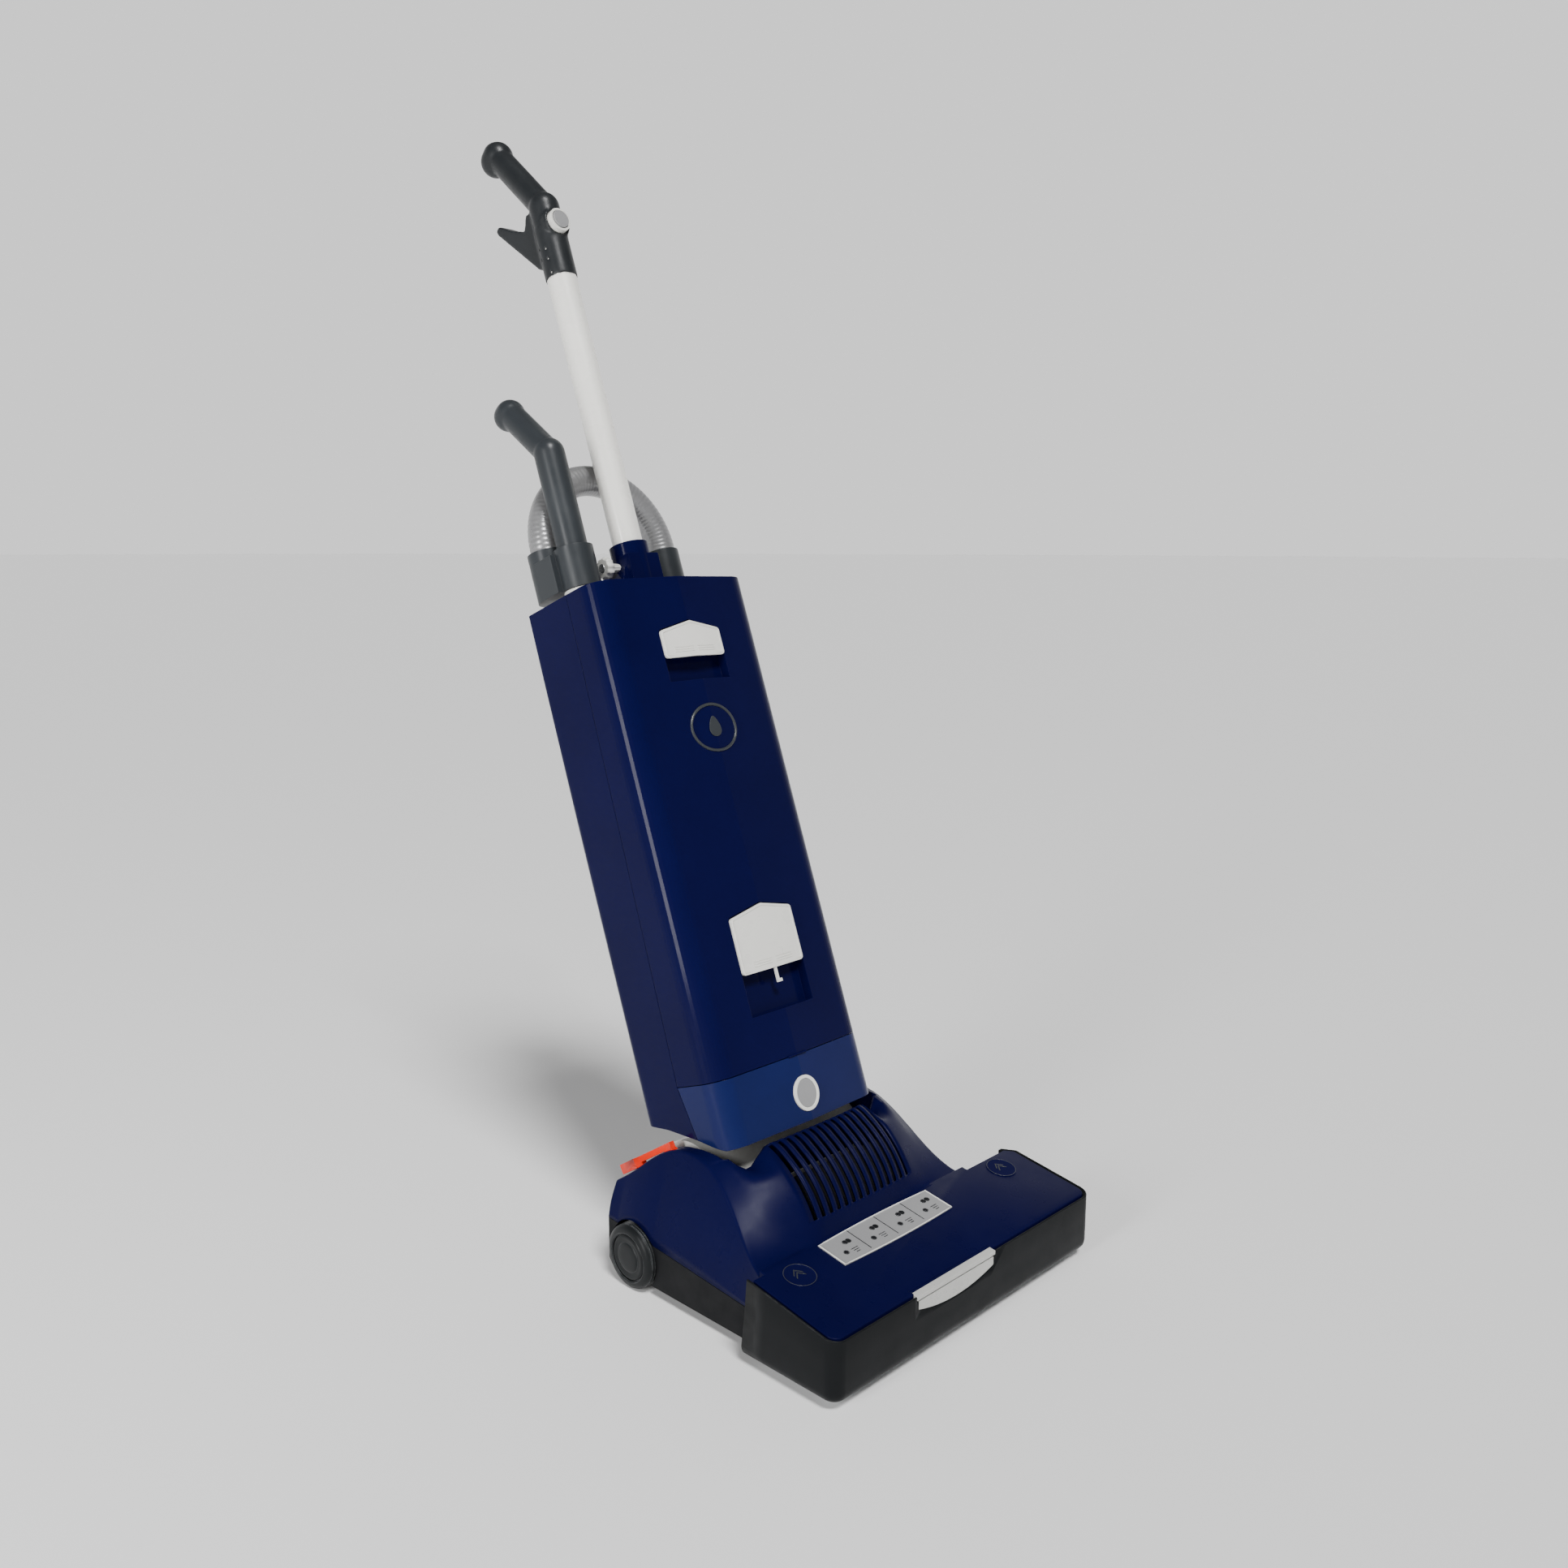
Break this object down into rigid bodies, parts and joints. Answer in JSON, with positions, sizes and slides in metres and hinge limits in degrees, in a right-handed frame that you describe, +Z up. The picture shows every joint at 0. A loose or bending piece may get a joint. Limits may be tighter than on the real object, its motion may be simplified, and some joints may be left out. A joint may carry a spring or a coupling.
{
  "type": "upright vacuum cleaner",
  "caption": "Upright vacuum cleaner with an offset brush head, reclining body, fold-down bag door, latches, tube handle and stored wand with a hose arch.",
  "frame": {"origin": "on the floor, under the middle of the whole machine's bounding box", "axes": "+Z up from the floor, front of the brush head faces -Y, +X to the machine's side where the head reaches further out"},
  "size_m": [0.386, 0.685, 1.1468],
  "materials": {
    "navy_gloss": "glossy navy moulding",
    "band_gloss": "glossy lighter navy moulding",
    "bumper_plastic": "satin dark grey moulding",
    "chassis_plastic": "matt charcoal moulding",
    "wheel_plastic": "matt grey moulding",
    "cream_plastic": "off-white moulding",
    "panel_plastic": "silver grey panel",
    "tube_paint": "off-white painted tube",
    "handle_plastic": "satin charcoal moulding",
    "wand_plastic": "satin mid grey moulding",
    "hose_plastic": "silver grey flexible hose",
    "pedal_plastic": "orange-red moulding",
    "steel": "bare steel",
    "rubber": "black rubber",
    "bristle": "dark nylon bristles",
    "filter_paper": "filter fleece",
    "filter_foam": "dark pleated exhaust filter",
    "lamp": "dark unlit lamp"
  },
  "bodies": {
    "head": {"chassis": "chassis_plastic", "bumper": "bumper_plastic", "top_cover": "navy_gloss", "exhaust_filter": "filter_foam", "sole_plate": "steel", "brush_end_left": "bumper_plastic", "brush_end_right": "bumper_plastic", "drive_belt": "rubber", "motor_housing": "wheel_plastic", "wheel_axle": "steel", "caster_axle_left": "steel", "caster_axle_right": "steel", "latch_strip": "cream_plastic", "indicator_panel": "panel_plastic", "indicator_lamps": "lamp", "round_mark_left": "navy_gloss", "round_mark_right": "navy_gloss", "pedal_pin": "steel", "neck_pin_left": "steel", "neck_pin_right": "steel", "suction_duct": "rubber"},
    "brush": {"brush_roller": "handle_plastic", "brush_bristles": "bristle", "brush_pulley": "wheel_plastic"},
    "motor": {"motor_rotor": "steel", "motor_fan": "wand_plastic"},
    "left_wheel": {"wheel_left": "wheel_plastic", "wheel_cap_left": "wheel_plastic"},
    "right_wheel": {"wheel_right": "wheel_plastic", "wheel_cap_right": "wheel_plastic"},
    "left_caster": {"caster_left": "wheel_plastic"},
    "right_caster": {"caster_right": "wheel_plastic"},
    "latch_lever": {"front_latch": "cream_plastic"},
    "pedal": {"foot_pedal": "pedal_plastic"},
    "upright": {"neck": "cream_plastic", "rear_housing": "navy_gloss", "lower_cover": "band_gloss", "filter_bag": "filter_paper", "bag_plate": "wand_plastic", "riser_duct": "chassis_plastic", "tube_socket": "navy_gloss", "handle_tube": "tube_paint", "handle_grip": "handle_plastic", "switch_ring": "cream_plastic", "cord_gland": "rubber", "wand_cuff": "wand_plastic", "inlet_collar": "cream_plastic", "hose": "hose_plastic", "hose_cuff": "wand_plastic"},
    "clamp": {"clamp_knob": "cream_plastic"},
    "release_button": {"oval_button": "cream_plastic", "oval_button_face": "panel_plastic"},
    "door": {"bag_door": "navy_gloss", "emblem_ring": "panel_plastic"},
    "upper_latch": {"upper_latch_flap": "cream_plastic"},
    "lower_latch": {"lower_latch_flap": "cream_plastic"},
    "power_switch": {"switch_button": "panel_plastic"},
    "rear_hook": {"cable_hook": "handle_plastic"},
    "wand_slider": {"wand": "wand_plastic"}
  },
  "joints": [
    {"name": "recline", "type": "hinge", "parent": "head", "child": "upright", "pos_m": [-0.029, -0.0925, 0.092], "axis": [-1, 0, 0], "range_deg": [0, 65]},
    {"name": "motor_spin", "type": "hinge", "parent": "head", "child": "motor", "pos_m": [-0.029, -0.1905, 0.056], "axis": [1, 0, 0], "continuous": true},
    {"name": "brush_spin", "type": "hinge", "parent": "head", "child": "brush", "pos_m": [0, -0.2925, 0.034], "axis": [1, 0, 0], "continuous": true},
    {"name": "left_wheel_spin", "type": "hinge", "parent": "head", "child": "left_wheel", "pos_m": [-0.173, -0.0605, 0.032], "axis": [1, 0, 0], "continuous": true},
    {"name": "right_wheel_spin", "type": "hinge", "parent": "head", "child": "right_wheel", "pos_m": [0.115, -0.0605, 0.032], "axis": [1, 0, 0], "continuous": true},
    {"name": "left_caster_spin", "type": "hinge", "parent": "head", "child": "left_caster", "pos_m": [-0.12, -0.2255, 0.009], "axis": [1, 0, 0], "continuous": true},
    {"name": "right_caster_spin", "type": "hinge", "parent": "head", "child": "right_caster", "pos_m": [0.062, -0.2255, 0.009], "axis": [1, 0, 0], "continuous": true},
    {"name": "latch_lever_hinge", "type": "hinge", "parent": "head", "child": "latch_lever", "pos_m": [-0.029, -0.3401, 0.0588], "axis": [-1, 0, 0], "range_deg": [0, 35], "stiffness_Nm_per_rad": 0.02, "springref_deg": -11.46},
    {"name": "pedal_press", "type": "hinge", "parent": "head", "child": "pedal", "pos_m": [-0.1447, -0.0865, 0.136], "axis": [-1, 0, 0], "range_deg": [0, 12], "stiffness_Nm_per_rad": 0.5, "springref_deg": -17.19},
    {"name": "door_hinge", "type": "hinge", "parent": "upright", "child": "door", "pos_m": [-0.029, -0.14007, 0.21981], "axis": [1, 0, 0], "range_deg": [0, 75]},
    {"name": "upper_latch_hinge", "type": "hinge", "parent": "door", "child": "upper_latch", "pos_m": [-0.029, 0.01278, 0.61716], "axis": [-1, 0, 0], "range_deg": [0, 25], "stiffness_Nm_per_rad": 0.03, "springref_deg": -11.46},
    {"name": "lower_latch_hinge", "type": "hinge", "parent": "door", "child": "lower_latch", "pos_m": [-0.029, -0.08887, 0.34236], "axis": [-1, 0, 0], "range_deg": [0, 25], "stiffness_Nm_per_rad": 0.06, "springref_deg": -11.46},
    {"name": "release_push", "type": "slide", "parent": "upright", "child": "release_button", "axis": [0, 0.9379, -0.3469], "range_m": [0, 0.003], "stiffness_N_per_m": 400, "springref_m": -0.001},
    {"name": "switch_push", "type": "slide", "parent": "upright", "child": "power_switch", "axis": [0, 0.9379, -0.3469], "range_m": [0, 0.002], "stiffness_N_per_m": 300, "springref_m": -0.001},
    {"name": "rear_hook_turn", "type": "hinge", "parent": "upright", "child": "rear_hook", "pos_m": [-0.029, 0.01078, 0.25432], "axis": [0, 0.9379, -0.3469], "range_deg": [0, 180]},
    {"name": "clamp_turn", "type": "hinge", "parent": "upright", "child": "clamp", "pos_m": [-0.059, 0.0999, 0.68836], "axis": [1, 0, 0], "range_deg": [-180, 180]},
    {"name": "wand_slide", "type": "slide", "parent": "upright", "child": "wand_slider", "axis": [0, 0.3469, 0.9379], "range_m": [0, 0.35]}
  ],
  "couplings": [
    {"joint": "brush_spin", "follows": "motor_spin", "ratio": 0.5625}
  ]
}
